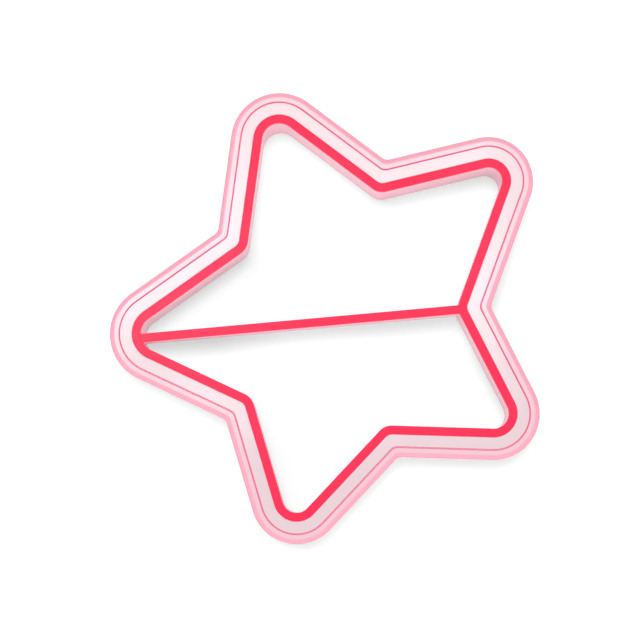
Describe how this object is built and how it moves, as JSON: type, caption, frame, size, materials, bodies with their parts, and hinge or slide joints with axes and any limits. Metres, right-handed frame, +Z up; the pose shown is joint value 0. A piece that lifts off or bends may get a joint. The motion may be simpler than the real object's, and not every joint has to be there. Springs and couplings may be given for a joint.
{
  "type": "star cutter",
  "caption": "Hand-pressed star cutter in clear pink plastic, with a rolled flange and a divider that halves the shape.",
  "frame": {"origin": "middle of the footprint, on the surface that the cutting edge stands on", "axes": "+Z up, away from the cutting edge; +X along the divider, from the arm that it starts in to the hollow between two arms"},
  "size_m": [0.1051, 0.109, 0.02],
  "materials": {
    "clear_pink": "clear tinted, polished",
    "hot_pink": "moulded, semi-gloss"
  },
  "bodies": {
    "root": {"press_flange": "clear_pink", "rolled_rim": "clear_pink", "star_wall": "clear_pink", "divider_wall": "clear_pink", "star_band": "hot_pink", "divider_band": "hot_pink"}
  },
  "joints": []
}
